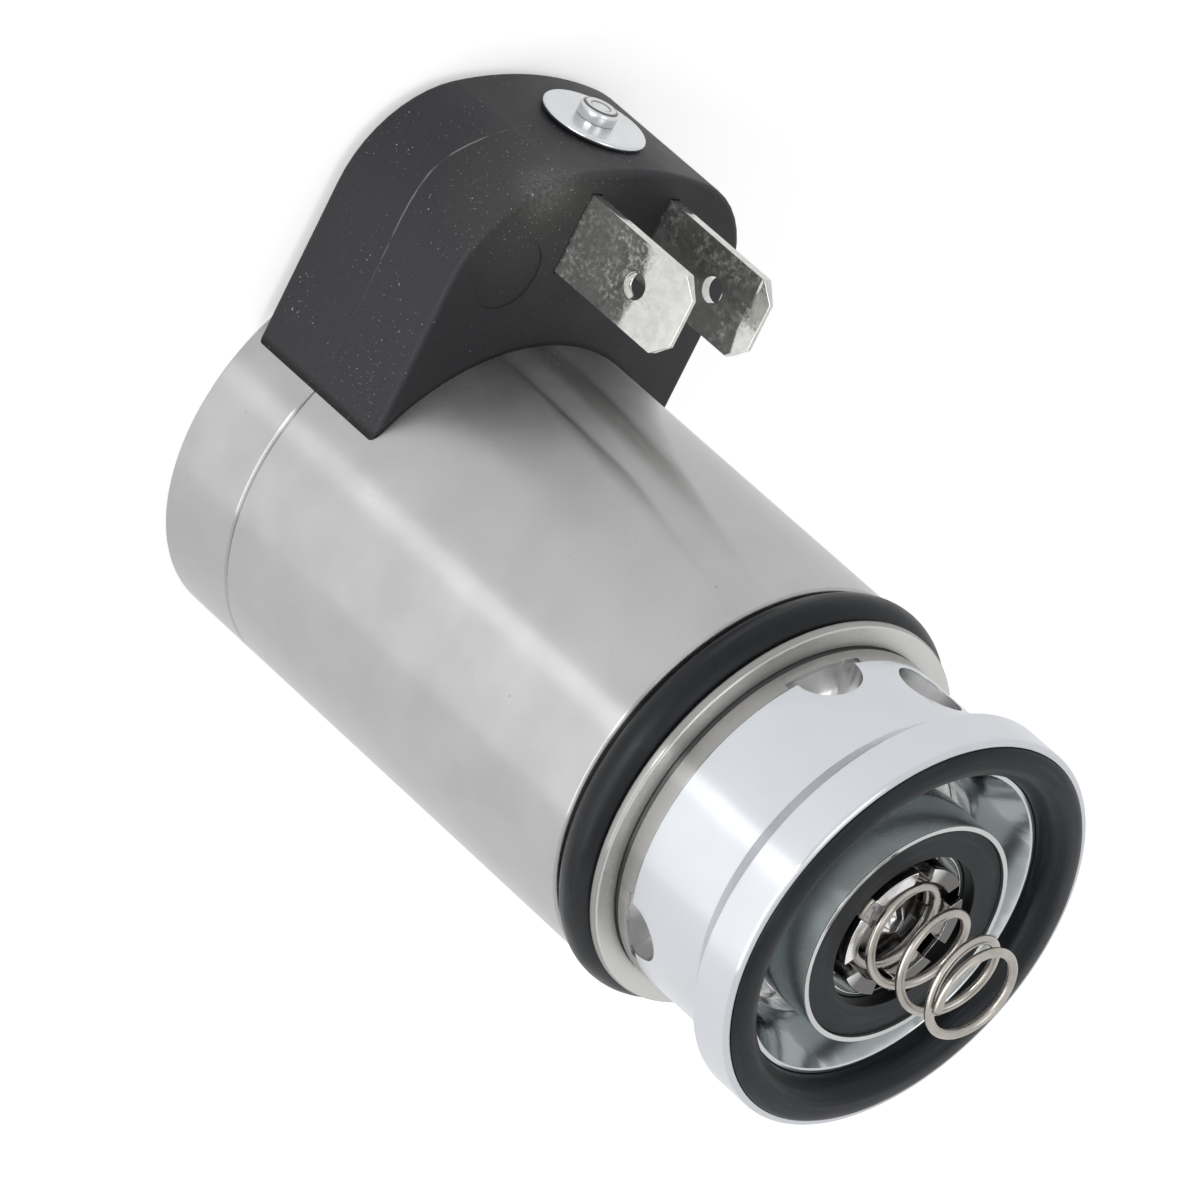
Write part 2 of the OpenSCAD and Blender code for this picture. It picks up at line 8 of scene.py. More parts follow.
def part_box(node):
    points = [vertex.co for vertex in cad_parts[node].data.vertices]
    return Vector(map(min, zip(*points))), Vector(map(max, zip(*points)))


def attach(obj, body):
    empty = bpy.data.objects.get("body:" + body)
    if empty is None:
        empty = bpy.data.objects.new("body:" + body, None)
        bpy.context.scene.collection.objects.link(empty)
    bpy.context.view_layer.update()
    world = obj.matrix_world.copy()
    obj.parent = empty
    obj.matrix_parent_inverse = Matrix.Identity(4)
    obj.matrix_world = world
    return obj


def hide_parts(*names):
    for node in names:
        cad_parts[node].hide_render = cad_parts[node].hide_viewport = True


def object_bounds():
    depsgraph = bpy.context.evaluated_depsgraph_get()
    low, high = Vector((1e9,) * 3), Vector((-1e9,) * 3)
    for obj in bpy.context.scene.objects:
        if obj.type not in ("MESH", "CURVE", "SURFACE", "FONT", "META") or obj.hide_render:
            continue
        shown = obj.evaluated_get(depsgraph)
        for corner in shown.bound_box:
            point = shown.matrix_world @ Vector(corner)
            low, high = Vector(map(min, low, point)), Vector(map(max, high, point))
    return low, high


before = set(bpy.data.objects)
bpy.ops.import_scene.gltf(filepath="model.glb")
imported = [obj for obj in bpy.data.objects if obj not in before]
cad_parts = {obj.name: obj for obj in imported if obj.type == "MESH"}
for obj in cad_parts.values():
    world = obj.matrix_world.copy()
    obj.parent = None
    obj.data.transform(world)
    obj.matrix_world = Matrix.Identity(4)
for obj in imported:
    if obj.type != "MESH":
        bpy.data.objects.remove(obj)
cad_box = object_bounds()

# Lengths are written in millimetres and turned into metres by MM.
MM = 0.001

# Camera: its place and the point it looks at, its roll about the line of sight in degrees, its lens and the
# width of its sensor in mm, and how near and how far it sees in metres.
CAMERA_PLACE = (570.728, -276.937, 453.461)
CAMERA_TARGET = (2.455, -4.503, 28.672)
CAMERA_ROLL = 131.88
CAMERA_LENS = 330.49
CAMERA_SENSOR = 36
CAMERA_NEAR = 0.01
CAMERA_FAR = 10

# Floor and light. Lamps: azimuth from +X and elevation in degrees, then distance, width and height in mm,
# and power in watts.
FLOOR_SIZE = 1500
FLOOR_COLOUR = (0.9, 0.9, 0.9, 1)
FLOOR_GLOW = 0.42
SKY_LIGHT = 0.6
LAMPS = {
    "side": (13, 12, 350, 357, 200, 0.52),
    "strip": (-9, 12, 340, 61, 200, 0.14),
    "top": (-60, 70, 600, 300, 300, 0.42),
}

# Flange seal: its width, its height above the flange, how far its face falls away to the inside, and the
# steps of a quarter of its crest and of the whole ring.
SEAL_WIDTH = 2.74
SEAL_PROUD = 0.4
SEAL_FALL = 2
CREST_STEPS = 12
LATHE_STEPS = 180

# Copies of CAD nodes: corners this near to each other in mm are one, faces that bend less than this angle
# are flat, and edges that bend more than the crease stay sharp. Angles are in degrees.
WELD = 0.001
FLAT_ANGLE = 0.4
CREASE = 30
HOOD_CREASE = 25

# Pieces that show rounded edges: node, body, slot and radius in mm.
ROUNDED = (
    ("rear_cap", "valve_body", "can_steel", 0.06),
    ("coil_can", "valve_body", "can_steel", 0.06),
    ("front_plate", "valve_body", "plate_steel", 0.06),
    ("valve_sleeve", "valve_body", "sleeve_aluminium", 0.1),
    ("rivet_washer", "valve_body", "rivet_zinc", 0.06),
    ("hood_rivet", "valve_body", "rivet_zinc", 0.06),
    ("terminal_left", "valve_body", "tab_tin", 0.05),
    ("terminal_right", "valve_body", "tab_tin", 0.05),
    ("poppet", "plunger", "poppet_metal", 0.1),
    ("crown_nut", "plunger", "crown_metal", 0.1),
    ("push_pin", "plunger", "crown_metal", 0.06),
)

# Return spring: wire radius, turns and pitch of the closed ends and of the open middle, the angle at which
# the wire starts, and the steps round the wire and along a turn.
WIRE_R = 0.35
CLOSED_TURNS = 1
OPEN_TURNS = 2.5
CLOSED_PITCH = 0.73
OPEN_PITCH = 3.15
SPRING_START = 200
WIRE_SIDES = 18
RINGS_PER_TURN = 72

# Tints: the shares of red, green and blue.
NEUTRAL = (1, 1, 1)
COOL = (0.97, 1, 1.05)
BLUISH = (0.97, 1, 1.12)
GREENISH = (0.95, 1, 1.01)
TEAL = (0.97, 1, 1)
ZINC = (0.98, 1, 1.02)
STEELY = (1.01, 1, 0.97)
OLIVE = (1, 1, 0.96)
TARNISHED = (1.06, 1, 0.92)
BRASSY = (1, 0.78, 0.42)
IVORY = (1, 0.95, 0.8)
RUBBER_SHINE = (0.86, 0.93, 1)

# Crown nut: the way to its painted lit side, and the radius in mm outside which its slots get painted
# shade.
CROWN_PAINTED_LIT_SIDE = (0.93, -0.36, 0)
CROWN_SLOT_SHADE_R = 4.2

# Rivet's end: how deep it reaches, and the radii of the painted light ring and of the painted highlight, in
# mm.
RIVET_END = 0.1
RIVET_PAINTED_RING_R = 0.95
RIVET_HIGHLIGHT_R = 0.2

# Dust on the hood: the way that the sides look which are lighter and gather more dust, the height and the
# sway of the dust line, where along X it sets in and is full, where along Y it starts to fade and is faint,
# how much of it is left there, the middle of the rubbed patch, and the radius and width of the painted
# shade in the crevice beside the can. Lengths in mm.
LIGHTER_SIDE = (0.54, -0.84, 0)
DUST_LINE_Z = 7
DUST_LINE_SWAY = 0.6
DUST_LINE_SETS_IN = (5, 9)
DUST_LINE_FADES = (-26, -15)
DUST_LINE_LEFT = 0.06
RUBBED_PATCH = (9, -28.3, 13.9)
CREVICE_SHADE_R = 16.15
CREVICE_SHADE_W = 0.25


def at_azimuth(azimuth, elevation, distance):
    """The point in that direction from the middle of the object, in metres."""
    a, e = math.radians(azimuth), math.radians(elevation)
    low, high = cad_box
    toward = Vector((math.cos(a) * math.cos(e), math.sin(a) * math.cos(e), math.sin(e)))
    return (low + high) / 2 + toward * distance * MM


def link(thing):
    """Puts an object into the scene."""
    bpy.context.scene.collection.objects.link(thing)
    return thing


class Finish:
    """A material in the making. A value that is a socket is linked, and any other is set."""

    def __init__(self, name, **constants):
        self.material = bpy.data.materials.new(name)
        self.material.use_nodes = True
        self.tree = self.material.node_tree
        self.shader = self.tree.nodes["Principled BSDF"]
        self.place = self.add("ShaderNodeTexCoord").outputs["Object"]
        self.put(self.shader, {key.replace("_", " "): value for key, value in constants.items()})

    def put(self, node, values):
        """Fills a node's inputs."""
        for key, value in values.items():
            socket = node.inputs[key]
            if isinstance(value, bpy.types.NodeSocket):
                self.tree.links.new(value, socket)
            else:
                socket.default_value = value

    def add(self, kind, inputs=None, **options):
        """Makes a node."""
        node = self.tree.nodes.new(kind)
        for key, value in options.items():
            setattr(node, key, value)
        self.put(node, inputs or {})
        return node

    def math(self, operation, *values):
        """A number that is worked out from other numbers."""
        return self.add("ShaderNodeMath", dict(enumerate(values)), operation=operation).outputs[0]

    def product(self, first, *others):
        """All the values multiplied together."""
        for other in others:
            first = self.math("MULTIPLY", first, other)
        return first

    def noise(self, size, detail=3, place=None):
        """Cloudy noise from 0 to 1 whose lumps are about size mm wide."""
        inputs = {"Vector": place or self.place, "Scale": 1 / (size * MM), "Detail": detail}
        return self.add("ShaderNodeTexNoise", inputs).outputs[0]

    def remap(self, value, low, high, to_low, to_high):
        """A value between low and high, moved to between to_low and to_high."""
        inputs = {0: value, 1: low, 2: high, 3: to_low, 4: to_high}
        return self.add("ShaderNodeMapRange", inputs).outputs[0]

    def mix(self, share, first, second):
        """The first colour with a share of the second."""
        inputs = {0: share, 6: first, 7: second}
        return self.add("ShaderNodeMix", inputs, data_type="RGBA").outputs[2]

    def parts(self):
        """The place as its three coordinates."""
        return self.add("ShaderNodeSeparateXYZ", {0: self.place}).outputs

    def vector(self, operation, first, second=(0, 0, 0)):
        """A number that is worked out from two vectors."""
        return self.add("ShaderNodeVectorMath", {0: first, 1: second}, operation=operation).outputs[1]

    def radius(self):
        """Distance from the Z axis."""
        x, y, _ = self.parts()
        return self.vector("LENGTH", self.add("ShaderNodeCombineXYZ", {0: x, 1: y}).outputs[0])

    def facing(self, direction):
        """How squarely a face looks in a direction, from 1 to minus 1."""
        return self.vector("DOT_PRODUCT", self.add("ShaderNodeTexCoord").outputs["Normal"], direction)

    def turned(self, grain, length):
        """Places for lines that run round the Z axis, grain mm wide and length mm long."""
        x, y, z = self.parts()
        across = self.product(self.math("ADD", self.radius(), z), length / grain)
        return self.add("ShaderNodeCombineXYZ", {0: x, 1: y, 2: across}).outputs[0]

    def bump(self, height, depth):
        """Relief of about depth mm from a height between 0 and 1."""
        bump = self.add("ShaderNodeBump", {"Height": height, "Distance": depth * MM})
        self.put(self.shader, {"Normal": bump.outputs[0]})

    def colour(self, value):
        self.put(self.shader, {"Base Color": value})

    def roughness(self, value):
        self.put(self.shader, {"Roughness": value})


def shade(tone, tint=NEUTRAL):
    """A colour of that tone with a slight tint."""
    return tuple(tone * part for part in tint) + (1,)


def zone(finish, within, rear, front):
    """1 within a radius of the axis and between two heights in mm, else 0."""
    near = finish.math("LESS_THAN", finish.radius(), within * MM)
    height = finish.parts()[2]
    ahead = finish.math("GREATER_THAN", height, rear * MM)
    behind = finish.math("LESS_THAN", height, front * MM)
    return finish.product(near, ahead, behind)


def turned_metal(name, light, dark, rough, tint, metallic=1, streak=0.5, grain=0.06, relief=0.002, pits=0.0,
                 faces=0.0, inside=()):
    """Metal from the lathe: lines round the axis, a cloudy tone and, if wanted, small dark pits. Streak is
    how far the lines draw reflections out along the axis. Faces is a lighter tone of painted light for the
    faces that look forward, where it is another. Inside lists zones with a look of their own: the radius in
    mm within which a zone lies, the heights of its rear and its front, its colour and its roughness."""
    finish = Finish(name, Metallic=metallic, Anisotropic=streak, Anisotropic_Rotation=0.25)
    lines = finish.noise(6, 4, finish.turned(grain, 6))
    clouds = finish.noise(5, 7)
    tone = finish.mix(finish.remap(clouds, 0.35, 0.65, 0, 1), shade(dark, tint), shade(light, tint))
    if pits:
        specks = finish.remap(finish.noise(0.35, 2), 0.74, 0.8, 0, pits)
        tone = finish.mix(specks, tone, shade(0.08))
    # Painted light: faces that look forward get a lighter tone of their own.
    if faces:
        forward = finish.remap(finish.facing((0, 0, 1)), 0.6, 0.9, 0, 1)
        tone = finish.mix(forward, tone, shade(faces, tint))
    dull = finish.remap(clouds, 0.3, 0.7, rough * 0.94, rough * 1.06)
    for within, rear, front, own_tone, own_dull in inside:
        hollow = zone(finish, within, rear, front)
        tone = finish.mix(hollow, tone, own_tone)
        dull = finish.remap(hollow, 0, 1, dull, own_dull)
    finish.colour(tone)
    finish.roughness(dull)
    finish.bump(lines, relief)
    tangent = finish.add("ShaderNodeTangent", direction_type="RADIAL", axis="Z")
    finish.put(finish.shader, {"Tangent": tangent.outputs[0]})
    return finish.material


def plated(finish, light, dark, rough, tint, lump=0.8, relief=0.003):
    """Lays a mottled tone and a faint relief on a metal and gives its tone."""
    patches = finish.noise(lump, 5)
    finish.roughness(finish.remap(patches, 0.3, 0.7, rough * 0.7, rough * 1.3))
    finish.bump(finish.noise(0.12, 3), relief)
    return finish.mix(finish.remap(patches, 0.4, 0.62, 0, 1), shade(dark, tint), shade(light, tint))


def wire_metal(name):
    """Drawn spring wire, slightly tarnished."""
    finish = Finish(name, Metallic=1)
    finish.colour(plated(finish, 0.43, 0.35, 0.28, TARNISHED, lump=2, relief=0.001))
    return finish.material


def crown_metal(name):
    """Plated metal with painted shade in the crown's slots and on those of its end faces that lie away from
    the side that is painted as lit."""
    finish = Finish(name, Metallic=1)
    tone = plated(finish, 0.85, 0.75, 0.16, NEUTRAL)
    # Painted shade: end faces away from the painted lit side, and the walls and floors of the slots, are
    # painted dark.
    ends = finish.remap(finish.facing((0, 0, 1)), 0.8, 0.95, 0, 0.9)
    toward = finish.vector("DOT_PRODUCT", finish.place, CROWN_PAINTED_LIT_SIDE)
    away = finish.remap(toward, 0.5 * MM, 2 * MM, 1, 0)
    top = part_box("crown_nut")[1].z
    sunk = finish.remap(finish.parts()[2], top - 0.5 * MM, top - 0.2 * MM, 0.9, 0)
    slot_shade = finish.product(sunk, finish.math("GREATER_THAN", finish.radius(), CROWN_SLOT_SHADE_R * MM))
    painted_shade = finish.math("MAXIMUM", slot_shade, finish.product(ends, away))
    finish.colour(finish.mix(painted_shade, tone, shade(0.06, TARNISHED)))
    return finish.material


def tab_metal(name):
    """Bright tin with dull stains, which show where the tin mirrors dark things."""
    finish = Finish(name)
    finish.colour(plated(finish, 0.62, 0.55, 0.1, OLIVE, lump=0.9, relief=0.001))
    blots = finish.remap(finish.noise(2.5, 2), 0.4, 0.6, 0.2, 1)
    stains = finish.product(blots, finish.remap(finish.noise(0.35, 4), 0.45, 0.65, 0, 1))
    finish.put(finish.shader, {"Metallic": finish.remap(stains, 0, 1, 0.88, 0.66)})
    finish.roughness(finish.remap(stains, 0, 1, 0.05, 0.3))
    return finish.material


def rivet_metal(name):
    """Pale zinc plate. The end of the rivet shows painted shade in a dark rim, a painted light ring and a
    painted bright highlight in its middle.
    """
    finish = Finish(name, Metallic=1)
    tone = plated(finish, 0.67, 0.62, 0.24, ZINC, lump=3, relief=0.001)
    low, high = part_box("hood_rivet")
    x, y, z = finish.parts()
    beside = finish.add("ShaderNodeCombineXYZ", {0: x, 2: finish.math("SUBTRACT", z, (low.z + high.z) / 2)})
    off_axis = finish.vector("LENGTH", beside.outputs[0])
    # Painted shade and highlight on the rivet's end: a dark rim, a light ring and a bright middle.
    off_ring = finish.math("ABSOLUTE", finish.math("SUBTRACT", off_axis, RIVET_PAINTED_RING_R * MM))
    ring = finish.mix(finish.remap(off_ring, 0.12 * MM, 0.25 * MM, 0, 1), shade(0.6), shade(0.12))
    off_highlight = finish.remap(off_axis, RIVET_HIGHLIGHT_R * MM, (RIVET_HIGHLIGHT_R + 0.15) * MM, 0, 1)
    end = finish.math("LESS_THAN", y, low.y + RIVET_END * MM)
    finish.colour(finish.mix(end, tone, finish.mix(off_highlight, shade(0.8), ring)))
    return finish.material


def rubber(name):
    """Moulded black rubber: fine grain, dull patches, faint streaks round the axis and a little dust."""
    finish = Finish(name, Specular_IOR_Level=0.25, Specular_Tint=shade(1, RUBBER_SHINE))
    dust = finish.remap(finish.noise(0.25, 2), 0.72, 0.8, 0, 0.25)
    patches = finish.noise(3, 4)
    base = finish.mix(patches, shade(0.004, BLUISH), shade(0.009, BLUISH))
    streaks = finish.remap(finish.noise(6, 3, finish.turned(0.4, 6)), 0.5, 0.75, 0, 0.6)
    base = finish.mix(streaks, base, shade(0.03, BLUISH))
    finish.colour(finish.mix(dust, base, shade(0.2)))
    finish.roughness(finish.remap(patches, 0.3, 0.7, 0.34, 0.46))
    finish.bump(finish.noise(0.1, 3), 0.004)
    return finish.material


def grained(finish):
    """Lays a spark-eroded grain and worn patches on a plastic and gives the patches."""
    patches = finish.noise(4, 4)
    finish.roughness(finish.remap(patches, 0.3, 0.7, 0.5, 0.62))
    finish.bump(finish.noise(0.09, 3), 0.008)
    return patches


def moulded_plastic(name, tone, tint):
    """Matt moulded plastic."""
    finish = Finish(name, Specular_IOR_Level=0.45)
    finish.colour(finish.mix(grained(finish), shade(tone * 0.8, tint), shade(tone * 1.2, tint)))
    return finish.material


def dust_specks(finish, side_share, from_patch):
    """Fine and coarse specks that lie in drifts, more of them on the lighter sides, and grit near the
    rubbed patch."""
    drifts = finish.remap(finish.noise(4, 2), 0.4, 0.6, 0.1, 1)
    fine = finish.remap(finish.noise(0.14, 1), 0.72, 0.8, 0, 1)
    coarse = finish.remap(finish.noise(0.3, 1), 0.76, 0.8, 0, 1)
    specks = finish.math("MAXIMUM", fine, coarse)
    specks = finish.product(drifts, finish.remap(side_share, 0, 1, 0.3, 1), specks)
    nearby = finish.remap(from_patch, 2 * MM, 9 * MM, 0.8, 0)
    grit = finish.product(nearby, finish.remap(finish.noise(0.2, 1), 0.7, 0.78, 0, 1))
    return finish.math("MAXIMUM", specks, grit)


def dust_line(finish, side_share):
    """A thin broken line round the hood that sways a little, sets in beside the rivet and fades towards the
    can."""
    x, y, z = finish.parts()
    low, high = (DUST_LINE_Z - DUST_LINE_SWAY) * MM, (DUST_LINE_Z + DUST_LINE_SWAY) * MM
    middle = finish.remap(finish.noise(16, 1), 0.3, 0.7, low, high)
    off_line = finish.math("ABSOLUTE", finish.math("SUBTRACT", z, middle))
    line = finish.remap(off_line, 0.02 * MM, 0.08 * MM, 1, 0)
    broken = finish.remap(finish.noise(1.6, 3), 0.38, 0.56, 0.05, 0.55)
    start, full = DUST_LINE_SETS_IN
    setting_in = finish.remap(x, start * MM, full * MM, 0, 1)
    start, faded = DUST_LINE_FADES
    fading = finish.remap(y, start * MM, faded * MM, 1, DUST_LINE_LEFT)
    return finish.product(line, broken, side_share, setting_in, fading)


def dusty_plastic(name):
    """Black moulded plastic with dust on it: a lighter tone and more pale specks on the sides that look
    outward, a line half way along the sides, a rubbed patch by the front edge and painted shade in the
    crevice beside the can."""
    finish = Finish(name, Specular_IOR_Level=0.3)
    # The sides that look this way get a lighter tone and more dust.
    side_share = finish.remap(finish.facing(LIGHTER_SIDE), 0.1, 0.5, 0, 1)
    patches = grained(finish)
    darker = finish.mix(patches, shade(0.013, BLUISH), shade(0.02, BLUISH))
    lighter = finish.mix(patches, shade(0.02, BLUISH), shade(0.028, BLUISH))
    tone = finish.mix(side_share, darker, lighter)
    from_patch = finish.vector("DISTANCE", finish.place, [part * MM for part in RUBBED_PATCH])
    tone = finish.mix(finish.remap(from_patch, 1 * MM, 8 * MM, 0.6, 0), tone, shade(0.065, TARNISHED))
    scuffs = finish.remap(finish.noise(0.3, 5), 0.4, 0.7, 0.2, 1)
    rubbed = finish.product(finish.remap(from_patch, 0.5 * MM, 3 * MM, 0.5, 0), scuffs)
    tone = finish.mix(rubbed, tone, shade(0.2))
    # Painted shade: the hood is painted darker in the crevice beside the can.
    crevice = finish.remap(finish.radius(), CREVICE_SHADE_R * MM, (CREVICE_SHADE_R + CREVICE_SHADE_W) * MM, 1, 0)
    tone = finish.mix(crevice, tone, shade(0.001))
    dust = finish.math("MAXIMUM", dust_specks(finish, side_share, from_patch), dust_line(finish, side_share))
    finish.colour(finish.mix(dust, tone, shade(0.35)))
    return finish.material


def wound(name, light, dark, pitch, rough, metallic):
    """Enamelled wire or tape in even turns along the axis."""
    finish = Finish(name, Metallic=metallic)
    turns = finish.math("SINE", finish.product(finish.parts()[2], math.tau / (pitch * MM)))
    wear = finish.noise(2, 3)
    finish.colour(finish.mix(wear, dark, light))
    finish.roughness(finish.remap(wear, 0.3, 0.7, rough * 0.8, rough * 1.2))
    finish.bump(turns, pitch / 4)
    return finish.material


# Zones with a look of their own: on the plate painted shade in the undercut, and in front of it a
# near-white tone that paints light into the ports; in the sleeve its inside, where the same near-white tone
# paints light into the ports, and the cone behind the flange seal.
# Painted shade in the plate's undercut; painted light, as a near-white tone, in the ports of plate and
# sleeve.
PLATE_ZONES = ((14.02, 48.4, 48.96, shade(0.1), 0.4), (13.7, 49, 60, shade(0.9), 0.2))
SLEEVE_ZONES = ((13.9, 0, 70, shade(0.95), 0.2), (12.6, 56, 70, shade(0.58, GREENISH), 0.1))

MATERIALS = {
    "can_steel": turned_metal("can_steel", 0.445, 0.4, 0.26, NEUTRAL, streak=1, relief=0.0001, pits=0.6),
    # The plate's forward faces get painted light, as a lighter tone of their own.
    "plate_steel": turned_metal("plate_steel", 0.32, 0.28, 0.27, STEELY, metallic=0.87, streak=1,
                                grain=0.08, faces=0.62, inside=PLATE_ZONES),
    "sleeve_aluminium": turned_metal("sleeve_aluminium", 0.61, 0.58, 0.235, COOL, streak=1, grain=0.05,
                                     relief=0.0001, inside=SLEEVE_ZONES),
    "poppet_metal": turned_metal("poppet_metal", 0.6, 0.54, 0.12, TEAL, grain=0.05, relief=0.0001),
    "crown_metal": crown_metal("crown_metal"),
    "black_rubber": rubber("black_rubber"),
    "hood_plastic": dusty_plastic("hood_plastic"),
    "tab_tin": tab_metal("tab_tin"),
    "rivet_zinc": rivet_metal("rivet_zinc"),
    "spring_wire": wire_metal("spring_wire"),
    "bobbin_plastic": moulded_plastic("bobbin_plastic", 0.6, IVORY),
    "copper_wire": wound("copper_wire", (0.62, 0.28, 0.12, 1), (0.42, 0.17, 0.07, 1), 0.4, 0.3, 0.8),
    "coil_tape": wound("coil_tape", (0.7, 0.5, 0.12, 1), (0.55, 0.38, 0.08, 1), 6, 0.4, 0),
    "tube_brass": turned_metal("tube_brass", 0.75, 0.68, 0.25, BRASSY),
    "core_iron": turned_metal("core_iron", 0.45, 0.4, 0.35, NEUTRAL),
}


def paint(piece, slot):
    """Gives a piece the finish of a material slot."""
    piece.data.materials.clear()
    piece.data.materials.append(MATERIALS[slot])


def paint_nodes():
    """Gives each CAD node the finish of its own slot, by the name that the frame gives its material."""
    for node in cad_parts.values():
        slot = node.data.materials[0].name.split(".")[0]
        node.material_slots[0].material = MATERIALS[slot]


def stand_for(piece, node, body, slot):
    """Lets a new piece take a CAD node's place on its body."""
    paint(piece, slot)
    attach(piece, body)
    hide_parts(node)
    return piece


def shaped(work, node, body, slot, crease):
    """Turns a finished bmesh into a piece that is smooth up to the crease and stands for a CAD node."""
    for face in work.faces:
        face.smooth = True
    for edge in work.edges:
        edge.smooth = edge.calc_face_angle(0) < math.radians(crease)
    mesh = bpy.data.meshes.new(node + "_smooth")
    work.to_mesh(mesh)
    work.free()
    piece = link(bpy.data.objects.new(node + "_smooth", mesh))
    piece.modifiers.new("even_normals", "WEIGHTED_NORMAL").keep_sharp = True
    return stand_for(piece, node, body, slot)


def refined(node, body, slot, round_mm=0.0, crease=CREASE):
    """A copy of a CAD node that is smooth over its curves, has rounded edges and stands for the node."""
    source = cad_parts[node].data
    work = bmesh.new()
    corners = [work.verts.new(v.co) for v in source.vertices]
    for face in source.polygons:
        work.faces.new([corners[i] for i in face.vertices])
    bmesh.ops.remove_doubles(work, verts=work.verts, dist=WELD * MM)
    bmesh.ops.dissolve_limit(work, angle_limit=math.radians(FLAT_ANGLE), verts=work.verts, edges=work.edges)
    if round_mm:
        sharp = [e for e in work.edges if e.calc_face_angle(0) > math.radians(crease)]
        bmesh.ops.bevel(work, geom=sharp, offset=round_mm * MM, segments=2, profile=0.5, affect="EDGES",
                        clamp_overlap=False)
    return shaped(work, node, body, slot, crease)


def round_axis(r, angle, z):
    """A point by its radius, its angle and its height in mm, in metres."""
    return Vector((r * math.cos(angle), r * math.sin(angle), z)) * MM


def lathe(node, body, slot, outline):
    """A turned ring from a closed outline of (radius, height) points in mm, which stands for a CAD node."""
    work = bmesh.new()
    turns = [math.tau * i / LATHE_STEPS for i in range(LATHE_STEPS)]
    rings = [[work.verts.new(round_axis(r, a, z)) for a in turns] for r, z in outline]
    for first, second in zip(rings, rings[1:] + rings[:1]):
        for i in range(LATHE_STEPS):
            k = (i + 1) % LATHE_STEPS
            work.faces.new((first[i], first[k], second[k], second[i]))
    bmesh.ops.recalc_face_normals(work, faces=work.faces)
    return shaped(work, node, body, slot, CREASE)


def make_flange_seal():
    """The flange seal with a smooth crest. Its outer side is upright, its face falls away to the inside."""
    low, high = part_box("flange_seal")
    half = SEAL_WIDTH / 2
    crest, top, foot = high.x / MM - half, high.z / MM, low.z / MM
    quarter = [math.radians(90 * i / CREST_STEPS) for i in range(CREST_STEPS + 1)]
    outer = [(crest + half * math.cos(a), top - SEAL_PROUD * (1 - math.sin(a))) for a in quarter]
    inner = [(crest - half * math.sin(a), top - SEAL_FALL * (1 - math.cos(a))) for a in quarter]
    outline = [(crest - half, foot), (crest + half, foot)] + outer + inner[1:]
    lathe("flange_seal", "valve_body", "black_rubber", outline)


def spring_rise(turn):
    """Height of the wire above its first point after so many turns, in mm."""
    opened = min(max(turn - CLOSED_TURNS, 0), OPEN_TURNS)
    return CLOSED_PITCH * turn + (OPEN_PITCH - CLOSED_PITCH) * opened


def make_spring():
    """The return spring as a smooth round wire with blunt ends."""
    low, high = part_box("return_spring")
    mean_r = high.x / MM - WIRE_R
    start_z = low.z / MM + WIRE_R
    total = OPEN_TURNS + 2 * CLOSED_TURNS
    count = round(total * RINGS_PER_TURN)
    work = bmesh.new()
    rings = []
    for i in range(count + 1):
        turn = total * i / count
        angle = math.radians(SPRING_START) + math.tau * turn
        ring = []
        for j in range(WIRE_SIDES):
            b = math.tau * j / WIRE_SIDES
            r = mean_r + WIRE_R * math.cos(b)
            z = start_z + spring_rise(turn) + WIRE_R * math.sin(b)
            ring.append(work.verts.new(round_axis(r, angle, z)))
        rings.append(ring)
    for first, second in zip(rings, rings[1:]):
        for j in range(WIRE_SIDES):
            k = (j + 1) % WIRE_SIDES
            work.faces.new((first[j], second[j], second[k], first[k])).smooth = True
    work.faces.new(rings[0])
    work.faces.new(reversed(rings[-1]))
    bmesh.ops.recalc_face_normals(work, faces=work.faces)
    mesh = bpy.data.meshes.new("spring")
    work.to_mesh(mesh)
    work.free()
    return stand_for(link(bpy.data.objects.new("spring", mesh)), "return_spring", "plunger", "spring_wire")


def glow_share(tree):
    """1 for rays that come straight from the camera or by way of metal or glass, else 0."""
    path = tree.nodes.new("ShaderNodeLightPath").outputs
    share = path["Is Camera Ray"]
    for name in ("Is Glossy Ray", "Is Transmission Ray"):
        larger = tree.nodes.new("ShaderNodeMath")
        larger.operation = "MAXIMUM"
        tree.links.new(share, larger.inputs[0])
        tree.links.new(path[name], larger.inputs[1])
        share = larger.outputs[0]
    return share


def make_floor():
    """A pale floor under the rear face, which shows white and keeps the object's shadow."""
    mesh = bpy.data.meshes.new("floor")
    half = FLOOR_SIZE / 2 * MM
    corners = [(-half, -half, 0), (half, -half, 0), (half, half, 0), (-half, half, 0)]
    mesh.from_pydata(corners, [], [(0, 1, 2, 3)])
    floor = link(bpy.data.objects.new("floor", mesh))
    finish = Finish("floor_white")
    finish.put(finish.shader, {"Base Color": FLOOR_COLOUR, "Roughness": 1, "Specular IOR Level": 0,
                               "Emission Color": (1, 1, 1, 1)})
    strength = finish.product(glow_share(finish.tree), FLOOR_GLOW)
    finish.put(finish.shader, {"Emission Strength": strength})
    mesh.materials.append(finish.material)


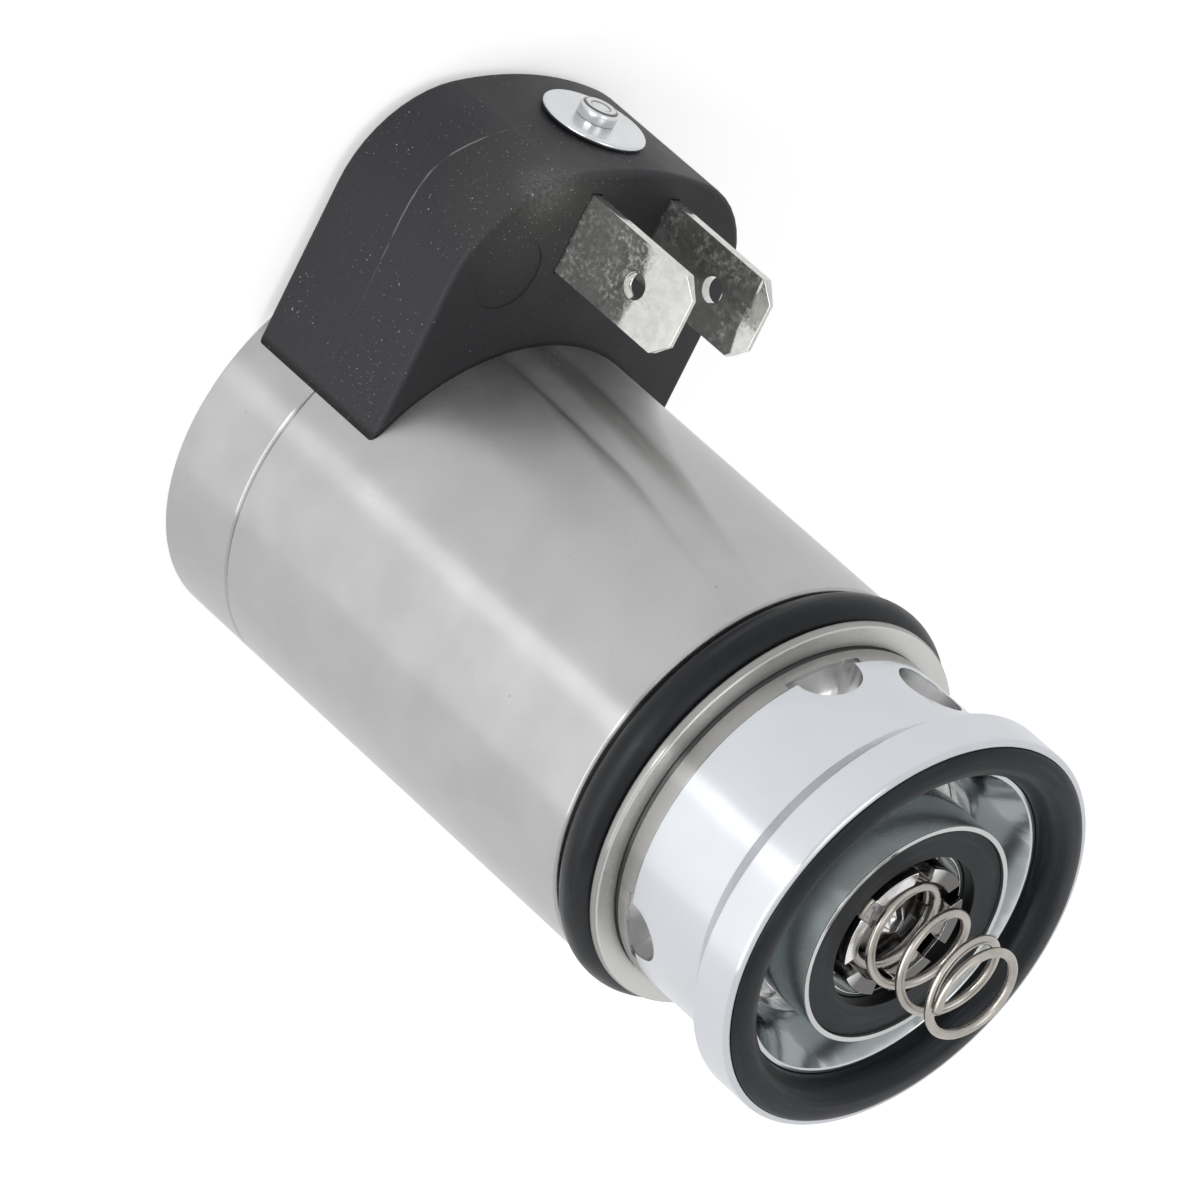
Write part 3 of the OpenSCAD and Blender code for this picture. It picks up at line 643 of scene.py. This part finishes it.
def make_sky():
    """An even white sky: plain ambient light, and white where metal mirrors it."""
    world = bpy.data.worlds.new("sky")
    world.use_nodes = True
    bpy.context.scene.world = world
    tree = world.node_tree
    level = tree.nodes.new("ShaderNodeMapRange")
    tree.links.new(glow_share(tree), level.inputs[0])
    level.inputs[3].default_value = SKY_LIGHT
    level.inputs[4].default_value = 1
    background = tree.nodes["Background"]
    background.inputs["Color"].default_value = (1, 1, 1, 1)
    tree.links.new(level.outputs[0], background.inputs["Strength"])


def make_lamps():
    """Soft rectangular lamps round the object."""
    for name, (azimuth, elevation, distance, width, height, power) in LAMPS.items():
        light = bpy.data.lights.new(name, "AREA")
        light.shape = "RECTANGLE"
        light.size = width * MM
        light.size_y = height * MM
        light.energy = power
        lamp = link(bpy.data.objects.new(name, light))
        lamp.visible_camera = False
        lamp.location = at_azimuth(azimuth, elevation, distance)
        toward = at_azimuth(0, 0, 0) - lamp.location
        lamp.rotation_euler = toward.to_track_quat("-Z", "Y").to_euler()


def make_camera():
    """A long lens, rolled about the line of sight."""
    camera = bpy.data.cameras.new("camera")
    camera.lens = CAMERA_LENS
    camera.sensor_width = CAMERA_SENSOR
    camera.clip_start = CAMERA_NEAR
    camera.clip_end = CAMERA_FAR
    place = Vector(CAMERA_PLACE) * MM
    forward = (Vector(CAMERA_TARGET) * MM - place).normalized()
    level = forward.cross(Vector((0, 0, 1))).normalized()
    upward = level.cross(forward)
    roll = math.radians(CAMERA_ROLL)
    right = level * math.cos(roll) + upward * math.sin(roll)
    top = upward * math.cos(roll) - level * math.sin(roll)
    holder = link(bpy.data.objects.new("camera", camera))
    holder.matrix_world = Matrix.Translation(place) @ Matrix((right, top, -forward)).transposed().to_4x4()
    bpy.context.scene.camera = holder


paint_nodes()
refined("terminal_hood", "valve_body", "hood_plastic", crease=HOOD_CREASE)
for node, body, slot, round_mm in ROUNDED:
    refined(node, body, slot, round_mm)
make_flange_seal()
make_spring()
make_floor()
make_sky()
make_lamps()
make_camera()

bpy.context.scene.view_settings.view_transform = "Standard"
